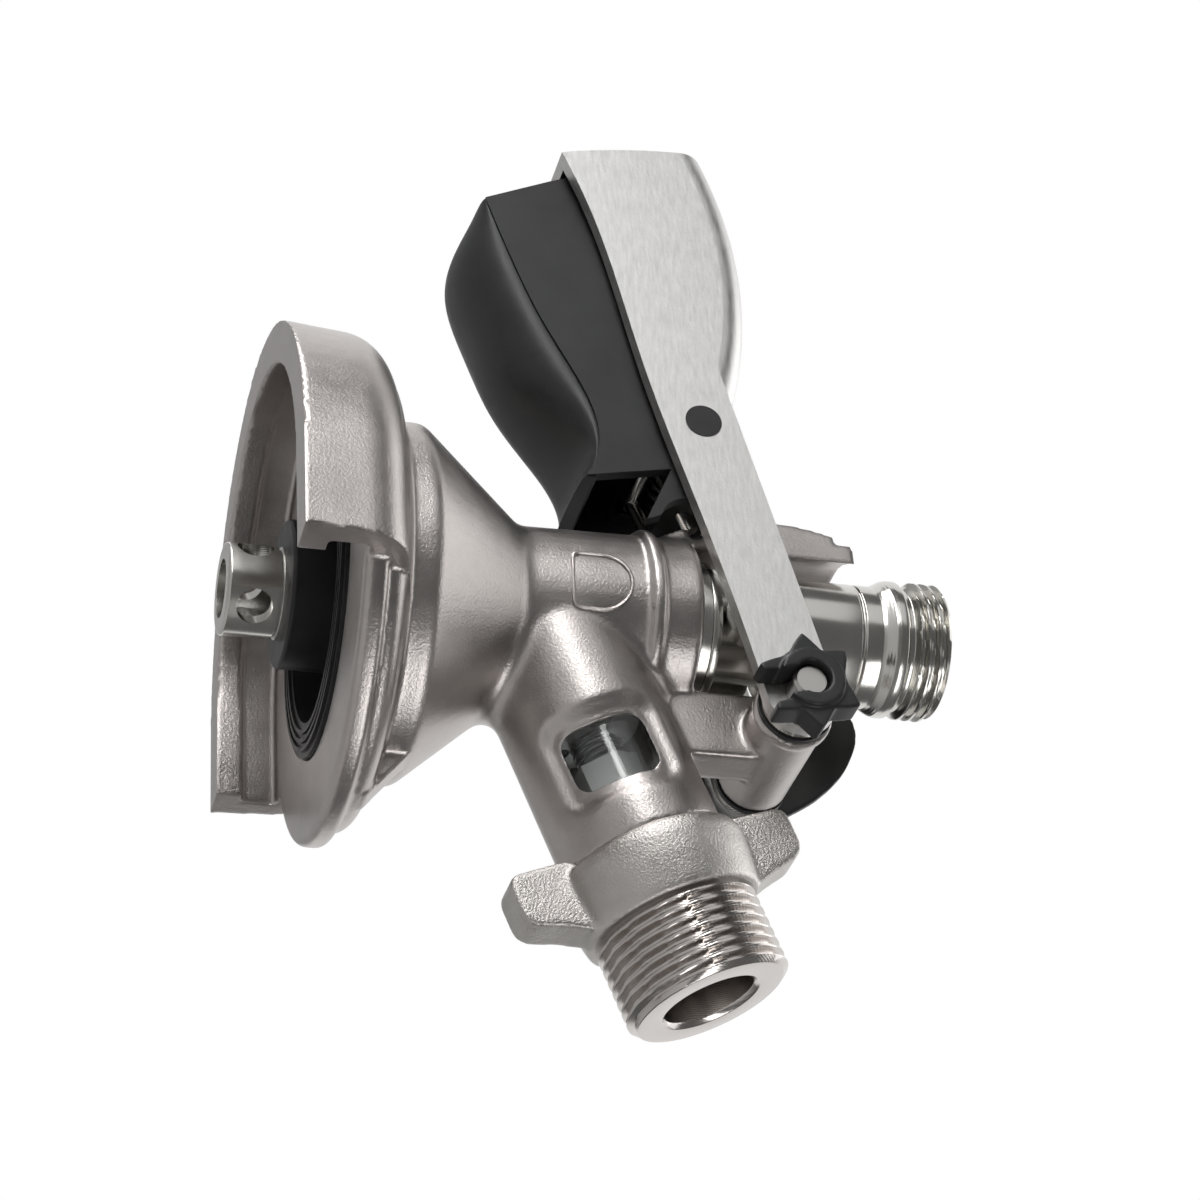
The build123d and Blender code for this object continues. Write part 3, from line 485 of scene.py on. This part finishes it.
def cast_over(piece, voxel, passes):
    """Turns overlapping solids into one skin with softened corners."""
    remesh = piece.modifiers.new("skin", "REMESH")
    remesh.mode = "VOXEL"
    remesh.voxel_size = voxel
    soften = piece.modifiers.new("soften", "SMOOTH")
    soften.factor = 0.5
    soften.iterations = passes
    run_modifiers(piece)


def joined(name, *solids):
    """One loose mesh object out of several."""
    shape = bmesh.new()
    for solid in solids:
        shape.from_mesh(solid.data)
        bpy.data.objects.remove(solid)
    mesh = bpy.data.meshes.new(name)
    shape.to_mesh(mesh)
    shape.free()
    return placed(name, mesh)


def prism(outline, low, high):
    """Points and faces of a flat outline drawn up from one height to another."""
    count = len(outline)
    verts = [(x, y, low) for x, y in outline] + [(x, y, high) for x, y in outline]
    faces = [tuple(range(count)), tuple(range(count, 2 * count))]
    faces += [(i, (i + 1) % count, count + (i + 1) % count, count + i) for i in range(count)]
    return verts, faces


def circle(radius, steps=96):
    """Points of a circle about the origin."""
    turns = [math.tau * step / steps for step in range(steps)]
    return [(radius * math.cos(turn), radius * math.sin(turn)) for turn in turns]


def round_box(half_width, half_height, corner, steps=8):
    """Corner points of a rounded rectangle about the origin."""
    points = []
    for quarter in range(4):
        for step in range(steps + 1):
            turn = math.radians(90 * (quarter + step / steps))
            side = (1 if quarter in (0, 3) else -1, 1 if quarter in (0, 1) else -1)
            points.append((
                side[0] * (half_width - corner) + corner * math.cos(turn),
                side[1] * (half_height - corner) + corner * math.sin(turn),
            ))
    return points


def rounded_outline(points, radius, steps=5):
    """The outline with each corner turned into a short curve."""
    corners = [Vector(p) for p in points]
    result = []
    for index, corner in enumerate(corners):
        before = corners[index - 1] - corner
        after = corners[(index + 1) % len(corners)] - corner
        start = corner + before.normalized() * min(radius, before.length * 0.45)
        end = corner + after.normalized() * min(radius, after.length * 0.45)
        for step in range(steps + 1):
            part = step / steps
            point = start * (1 - part) ** 2 + corner * 2 * part * (1 - part) + end * part ** 2
            result.append(tuple(point))
    return result


# ---------------------------------------------------------------- body casting
window_turn = math.radians(16)
window_middle = 31.2 * mm
window_half = (7.4 * mm, 5.2 * mm)
window_corner = 2.6 * mm
hollow_half_turn = math.radians(50)
hollow_half_length = 8.7 * mm
hollow_depth = 1.35 * mm
hollow_slope = 2.6 * mm
hollow_corner = 4.5 * mm
hollow_skin_r = (11.2 * mm, 13.6 * mm)
hollow_reach = 12 * mm
hollow_floor_r = 11.0 * mm
hollow_fade = 2.2 * mm
window_cut = (4 * mm, 20 * mm)
sleeve_r = (10.6 * mm, 13.18 * mm)
sleeve_along = (22.0 * mm, 41.6 * mm)
horn_side = [(9.6, 90.0), (14.3, 90.0), (14.0, 98.2), (9.6, 96.2)]
horn_half_width = 8.95 * mm
horn_bore_r = 13.75 * mm
horn_bore_z = (80 * mm, 110 * mm)
soft_ring_r = (11.3 * mm, 22 * mm)
soft_ring_x = -6 * mm
soft_ring_z = 27 * mm
soft_ring_end = 41 * mm
bracket_z = 66 * mm
bracket_x = -12 * mm
bracket_half_width = 8 * mm
casting_voxel = 0.42 * mm
casting_share = 0.3


def across_branch(turn):
    """Frame whose z axis leaves the branch sideways at a turn, with y along the branch."""
    out = Vector((math.cos(turn), math.sin(turn), 0))
    side = Vector((-math.sin(turn), math.cos(turn), 0))
    ahead = Vector((0, 0, 1))
    return branch @ axes_frame(side, ahead, out)


def body_casting():
    """The body as one casting: window in its place, soft hollow round it, rounded corners."""
    source = nodes["coupler_body"]
    body = placed("body_casting", source.data.copy())
    sleeve = [
        (sleeve_r[0], sleeve_along[0]), (sleeve_r[1], sleeve_along[0]),
        (sleeve_r[1], sleeve_along[1]), (sleeve_r[0], sleeve_along[1]),
    ]
    tube = loose_solid("sleeve", *lathe(sleeve), branch)
    hole = round_box(*window_half, window_corner)
    for turn in (window_turn, window_turn + math.pi):
        place = across_branch(turn) @ Matrix.Translation((0, window_middle, 0))
        for solid in (body, tube):
            cut_away(solid, loose_solid("tool", *prism(hole, *window_cut), place))
    piece = joined("body_casting", body, tube, horn_tip())
    cast_over(piece, casting_voxel, passes=3)
    press_hollow(piece.data)
    soften_places(piece)
    lighten(piece, casting_share)
    finish_piece(piece, cast_steel, "coupler", "satin_steel", "coupler_body")


def horn_tip():
    """Slanted end of the latch horn, over the upper notch."""
    side = [(x * mm, z * mm) for x, z in horn_side]
    block = loose_solid("horn_tip", *prism(side, -horn_half_width, horn_half_width), from_side)
    cut_away(block, loose_solid("bore", *prism(circle(horn_bore_r), *horn_bore_z), upright))
    return block


def press_hollow(mesh):
    """Presses the shallow hollow round each window into the branch's skin."""
    to_branch = branch.inverted()
    for vertex in mesh.vertices:
        place = to_branch @ vertex.co
        radius = math.hypot(place.x, place.y)
        in_skin = hollow_skin_r[0] < radius < hollow_skin_r[1]
        if not in_skin or abs(place.z - window_middle) > hollow_reach:
            continue
        from_window = math.atan2(place.y, place.x) - window_turn
        turn = (from_window + math.pi / 2) % math.pi - math.pi / 2
        beside = abs(turn) * branch_r - (hollow_half_turn * branch_r - hollow_corner)
        along = abs(place.z - window_middle) - (hollow_half_length - hollow_corner)
        outside = math.hypot(max(beside, 0), max(along, 0)) + min(max(beside, along), 0)
        inside = hollow_corner - outside
        if inside <= 0:
            continue
        part = min(1.0, inside / hollow_slope)
        full_drop = hollow_depth * part * part * (3 - 2 * part)
        drop = full_drop * (radius - hollow_floor_r) / hollow_fade
        shrink = (radius - drop) / radius
        vertex.co = branch @ Vector((place.x * shrink, place.y * shrink, place.z))


def soften_places(piece):
    """Smooths the casting strongly round the branch and the bracket, and hardly at the claw."""
    soft = piece.vertex_groups.new(name="soft")
    to_branch = branch.inverted()
    strong = []
    for vertex in piece.data.vertices:
        place = to_branch @ vertex.co
        radius = math.hypot(place.x, place.y)
        spot = vertex.co
        in_ring = soft_ring_r[0] < radius < soft_ring_r[1] and place.z < soft_ring_end
        near_branch = in_ring and spot.x < soft_ring_x and spot.z > soft_ring_z
        on_bracket = spot.z > bracket_z and spot.x < bracket_x and abs(spot.y) < bracket_half_width
        if near_branch or on_bracket:
            strong.append(vertex.index)
    soft.add(strong, 1.0, "REPLACE")
    soften = piece.modifiers.new("soften", "SMOOTH")
    soften.factor = 0.5
    soften.iterations = 10
    soften.vertex_group = "soft"
    run_modifiers(piece)


body_casting()

# ---------------------------------------------------------------- blank cartouche
cartouche_turn = math.radians(96)
cartouche_half = 5.0 * mm
cartouche_low_z = 48.2 * mm
cartouche_top_z = 57.8 * mm
cartouche_line_r = 0.32 * mm
neck_r = 14.85 * mm


def cartouche_points():
    """A flat-footed arch round an empty field, as (sideways, height) on the neck."""
    shoulder_z = cartouche_top_z - cartouche_half
    points = [(cartouche_half, cartouche_low_z), (cartouche_half, shoulder_z)]
    for step in range(1, 18):
        turn = math.pi * step / 18
        points.append((cartouche_half * math.cos(turn), shoulder_z + cartouche_half * math.sin(turn)))
    points += [(-cartouche_half, shoulder_z), (-cartouche_half, cartouche_low_z)]
    return rounded_outline(points, 1.6 * mm)


def cartouche():
    """Raised line that frames the bare place on the neck."""
    line = cartouche_points()
    sides = 8
    verts = []
    faces = []
    for index, (across, height) in enumerate(line):
        ahead = (Vector(line[(index + 1) % len(line)]) - Vector(line[index - 1])).normalized()
        for side in range(sides):
            turn = math.tau * side / sides
            spread = cartouche_line_r * math.cos(turn)
            radius = neck_r + cartouche_line_r * math.sin(turn)
            angle = cartouche_turn - (across + ahead.y * spread) / neck_r
            place = height - ahead.x * spread
            verts.append((radius * math.cos(angle), radius * math.sin(angle), place))
            following = (index + 1) % len(line)
            after = (side + 1) % sides
            faces.append(
                (index * sides + side, following * sides + side,
                 following * sides + after, index * sides + after)
            )
    new_piece("cartouche", verts, faces, upright, cast_steel, "coupler", "satin_steel")


cartouche()

# ---------------------------------------------------------------- gas nipple
nut_end = branch_end + 11.6 * mm
gas_crest_r = 13.22 * mm
wing_half_thick = 3.6 * mm
wing_corner = 2.4
collar_voxel = 0.35 * mm
gas_thread_start = nut_end + 0.6 * mm
gas_thread_end = nut_end + 14.0 * mm


def gas_collar():
    """Cast collar with its two wings flowing out of it."""
    profile = [
        (10.0, 45.6), (13.9, 45.6), (15.0, 46.5), (15.4, 48.2), (15.2, 51.5),
        (14.6, 55.2), (14.2, 57.2), (10.0, 57.2),
    ]
    ring = loose_solid("ring", *lathe(eased(profile, 0.3)), branch)
    wing = [(13.4, 44.0), (24.3, 44.2), (24.2, 52.6), (18.0, 54.4), (12.0, 57.1), (12.0, 46.0)]
    place = branch @ axes_frame(Vector((0, 1, 0)), Vector((0, 0, 1)), Vector((1, 0, 0)))
    blades = []
    for side in (1, -1):
        outline = [(r * mm * side, u * mm) for r, u in rounded_outline(wing, wing_corner)]
        blades.append(
            loose_solid("blade", *prism(outline, -wing_half_thick, wing_half_thick), place)
        )
    piece = joined("gas_collar", ring, *blades)
    cast_over(piece, collar_voxel, passes=14)
    finish_piece(piece, rough_casting, "coupler", "satin_steel", "gas_nipple")


def gas_thread():
    """Turned spigot, bore and pipe thread of the gas nipple."""
    profile = [
        (7.34, 40.0), (10.5, 40.0), (10.5, 46.0), (9.8, 46.0), (9.8, 57.1), (12.0, 57.1), (12.0, 57.8),
        (13.22, 57.8), (13.22, 70.3), (12.0, 71.2), (8.1, 71.2), (7.34, 70.5),
    ]
    outline = divided(
        eased(profile, 0.15), gas_thread_start, gas_thread_end, gas_crest_r, thread_step
    )
    groove = pipe_groove(gas_thread_start, gas_thread_end, gas_crest_r)
    verts, faces = lathe(outline, thread_turn_steps, groove)
    new_piece(
        "gas_thread", verts, faces, branch, thread_steel, "coupler", "satin_steel", "gas_nipple"
    )


gas_collar()
gas_thread()


def check_coil():
    """The check valve's spring, kept rigid here with its own copy of the mesh, though it shortens as the
    valve opens.
    """
    piece = placed("check_coil", nodes["check_spring"].data.copy())
    finish_piece(piece, spring_steel, "coupler", "polished_steel", "check_spring")
    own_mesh(piece)


check_coil()

# ---------------------------------------------------------------- probe
beer_crest_r = 11.455 * mm
beer_run = (107.8 * mm, 113.2 * mm)
beer_thread = (107.5 * mm, 113.3 * mm)


def probe_body():
    """Turned and polished probe with collar, drive groove, steps and pipe thread."""
    outside = [
        (6.4, 12.4), (10.2, 12.4), (10.2, 72.3), (11.5, 72.3), (11.5, 73.8), (8.0, 73.8), (8.0, 84.2),
        (10.2, 84.2), (10.2, 98.0), (9.9, 98.2), (9.9, 98.6), (10.2, 98.8), (10.2, 101.6), (10.5, 102.4),
        (11.2, 103.6), (11.4, 104.4), (11.4, 105.6), (10.1, 106.2), (10.1, 107.2), (11.455, 107.8),
        (11.455, 112.5), (10.8, 113.2),
    ]
    inside = [
        (8.0, 113.2), (7.0, 109.2), (7.0, 101.0), (6.4, 101.0), (6.4, 98.6), (5.6, 98.6), (5.6, 88.0),
        (3.8, 88.0), (3.8, 86.0), (4.72, 86.0), (4.72, 18.0), (6.4, 18.0),
    ]
    outline = divided(eased(outside + inside, 0.18), *beer_run, beer_crest_r, thread_step)
    groove = pipe_groove(*beer_thread, beer_crest_r)
    verts, faces = lathe(outline, thread_turn_steps, groove)
    new_piece(
        "probe_body", verts, faces, upright, turned_probe, "probe", "polished_steel", "probe_tube"
    )


probe_body()

# ---------------------------------------------------------------- star clip
clip_open = math.radians(255)
clip_lobe_turns = [math.radians(turn) for turn in (-6, 47, 118, 173, 226, 284)]
clip_waist_r = 5.9 * mm
clip_lobe_r = 8.6 * mm
clip_hole_r = 2.95 * mm
clip_slot_half = 2.3 * mm
clip_lobe_half_turn = math.radians(29)
clip_plate_y = (-20.6 * mm, -16.1 * mm)
clip_rim_y = (-21.7 * mm, -16.3 * mm)
clip_rim_r = 5.2 * mm
clip_voxel = 0.22 * mm


def clip_radius(turn):
    """Edge of the star at a turn: pointed lobes with hollows between them."""
    nearest = min(abs((turn - lobe + math.pi) % math.tau - math.pi) for lobe in clip_lobe_turns)
    part = max(0.0, 1 - nearest / clip_lobe_half_turn)
    return clip_waist_r + (clip_lobe_r - clip_waist_r) * part ** 1.5


def open_ring(radius_at, hole_r, steps=150, hole_steps=40):
    """Outline of a ring that is open at the clip's slot."""
    points = []
    gap = clip_slot_half / radius_at(clip_open)
    for step in range(steps + 1):
        turn = clip_open + gap + (math.tau - 2 * gap) * step / steps
        points.append((radius_at(turn) * math.cos(turn), radius_at(turn) * math.sin(turn)))
    hole_gap = math.asin(min(0.95, clip_slot_half / hole_r))
    for step in range(hole_steps + 1):
        turn = clip_open - hole_gap - (math.tau - 2 * hole_gap) * step / hole_steps
        points.append((hole_r * math.cos(turn), hole_r * math.sin(turn)))
    return points


def star_clip():
    """Star-shaped clip pushed on to the pin from the side, with a raised rim round its hole."""
    place = Matrix.Translation((pivot_x, 0, pivot_z)) @ from_side
    star = open_ring(clip_radius, clip_hole_r)
    ring = open_ring(lambda turn: clip_rim_r, clip_hole_r)
    plate = loose_solid("plate", *prism(star, *clip_plate_y), place)
    rim = loose_solid("rim", *prism(ring, *clip_rim_y), place)
    piece = joined("star_clip_black", plate, rim)
    cast_over(piece, clip_voxel, passes=4)
    finish_piece(piece, finishes["black_plastic"], "coupler", "black_plastic", "star_clip")


star_clip()

# ---------------------------------------------------------------- thumb cover
cover_edge = [
    (-3.5, 104.7), (-6.9, 105.3), (-10.3, 104.4), (-15.1, 101.7), (-20.1, 96.6), (-24.3, 90.1),
    (-27.2, 86.2), (-28.2, 80.8), (-25.8, 77.4), (-20.5, 75.6), (-15.0, 77.2), (-12.2, 82.0),
    (-12.0, 87.5), (-10.5, 92.5), (-6.5, 97.5), (-3.6, 101.5),
]
cover_back_y = -17.8 * mm
cover_rim_y = -13.8 * mm
cover_inner_y = -16.4 * mm
cover_wall = 1.4 * mm
cover_tool_extra = 2 * mm
cover_voxel = 0.3 * mm


def closed_curve(points, parts=6):
    """A smooth closed line through points."""
    result = []
    count = len(points)
    for index in range(count):
        a, b, c, d = (Vector(points[(index + shift) % count]) for shift in (-1, 0, 1, 2))
        for step in range(parts):
            t = step / parts
            point = b * 2 + (c - a) * t + (a * 2 - b * 5 + c * 4 - d) * t * t
            point += (b * 3 - a - c * 3 + d) * t ** 3
            result.append(tuple(point * 0.5))
    return result


def moved_in(points, wall):
    """The closed line moved inwards by a wall."""
    result = []
    count = len(points)
    for index in range(count):
        ahead = Vector(points[(index + 1) % count]) - Vector(points[index - 1])
        inward = Vector((ahead.y, -ahead.x)).normalized() * wall
        result.append(tuple(Vector(points[index]) + inward))
    return result


def thumb_cover():
    """Black cover over the far end of the pin, with a low wall round its edge."""
    edge = [(x * mm, z * mm) for x, z in closed_curve(cover_edge)]
    piece = loose_solid("thumb_cover_black", *prism(edge, -cover_rim_y, -cover_back_y), from_side)
    inner = prism(moved_in(edge, cover_wall), -cover_rim_y - cover_tool_extra, -cover_inner_y)
    cut_away(piece, loose_solid("tool", *inner, from_side))
    cast_over(piece, cover_voxel, passes=4)
    finish_piece(piece, finishes["black_plastic"], "coupler", "black_plastic", "thumb_cover")


thumb_cover()

# ---------------------------------------------------------------- camera
camera_place = Vector((-277.05, 410.93, -71.92)) * mm
camera_turn = tuple(math.radians(angle) for angle in (-159.899, -74.552, 103.637))
camera_lens = 94.83

lens = bpy.data.cameras.new("camera")
lens.lens = camera_lens
lens.sensor_width = 36.0
lens.clip_start = 0.01
camera = placed("camera", lens)
camera.rotation_euler = camera_turn
camera.location = camera_place
bpy.context.scene.camera = camera


# ---------------------------------------------------------------- studio
studio_aim = Vector((5, 0, 50)) * mm
square = ((-1, -1), (1, -1), (1, 1), (-1, 1))
floor_z = -0.1
floor_half = 2.4


def world_light(strength):
    """An even grey fill from all round."""
    world = bpy.data.worlds.new("studio")
    world.use_nodes = True
    build = Nodes(world.node_tree)
    world.node_tree.nodes.clear()
    fill = build.add("ShaderNodeBackground", Color=(1, 1, 1, 1), Strength=strength)
    output = build.add("ShaderNodeOutputWorld")
    build.tree.links.new(fill.outputs[0], output.inputs["Surface"])
    bpy.context.scene.world = world


def plane(name, corners, material):
    """A flat sheet of the studio through four corners."""
    mesh = bpy.data.meshes.new(name)
    mesh.from_pydata(corners, [], [(0, 1, 2, 3)])
    mesh.materials.append(material)
    sheet = placed(name, mesh)


def backdrop_white():
    """White to the eye and in metal and glass, and dark as a source of light."""
    material = bpy.data.materials.new("backdrop_white")
    material.use_nodes = True
    build = Nodes(material.node_tree)
    material.node_tree.nodes.clear()
    path = build.add("ShaderNodeLightPath")
    by_eye = path.outputs["Is Camera Ray"]
    by_eye_or_glass = build.maths("MAXIMUM", by_eye, path.outputs["Is Transmission Ray"])
    seen = build.maths("MAXIMUM", by_eye_or_glass, path.outputs["Is Glossy Ray"])
    glow = build.add("ShaderNodeEmission", Color=(1, 1, 1, 1), Strength=seen)
    output = build.add("ShaderNodeOutputMaterial")
    build.tree.links.new(glow.outputs[0], output.inputs["Surface"])
    return material


def floor_paint():
    """Pale matt paint of the floor."""
    material, build, shader = new_material("floor_paint")
    speckle = build.add("ShaderNodeTexNoise", Scale=40.0, Detail=2.0)
    colour = build.mix(speckle.outputs[0], (0.90, 0.90, 0.90, 1), (0.93, 0.93, 0.93, 1))
    build.feed(shader.inputs["Base Color"], colour)
    shader.inputs["Roughness"].default_value = 0.8
    return material


def studio_sheet(name, right, up, back, size, material):
    """A sheet placed as the camera sees it, facing the coupler."""
    centre = studio_aim + in_view(right, up, back)
    facing = (studio_aim - centre).to_track_quat("Z", "Y").to_matrix()
    corners = [centre + facing @ Vector((x * size[0] / 2, y * size[1] / 2, 0)) for x, y in square]
    plane(name, corners, material)


def softbox(name, place, size, radiance):
    """An area lamp at a place round the coupler, aimed at it."""
    lamp = bpy.data.lights.new(name, "AREA")
    lamp.shape = "RECTANGLE"
    lamp.size, lamp.size_y = size
    lamp.energy = radiance * math.pi * size[0] * size[1]
    body = placed(name, lamp)
    body.location = studio_aim + Vector(place)
    body.rotation_euler = Vector(place).to_track_quat("Z", "Y").to_euler()


def in_view(right, up, back):
    """A place given as the camera sees it, from the middle of the coupler."""
    return camera.rotation_euler.to_matrix() @ Vector((right, up, back))


world_light(0.13)
softbox("face_softbox", place=(0.42, 0.62, 0.20), size=(0.55, 0.45), radiance=0.62)
softbox("top_softbox", place=in_view(-0.1, 0.66, 0.1), size=(1.0, 0.32), radiance=7.5)
softbox("low_softbox", place=in_view(0.3, -0.55, 0.42), size=(0.6, 0.2), radiance=3.6)
softbox("overhead_softbox", place=(0.25, -0.1, 1.5), size=(1.5, 1.5), radiance=1.35)
studio_sheet("backdrop", right=0.0, up=0.0, back=-1.5, size=(4.5, 4.5), material=backdrop_white())
plane("floor", [(x * floor_half, y * floor_half, floor_z) for x, y in square], floor_paint())

bpy.context.scene.view_settings.view_transform = "Standard"
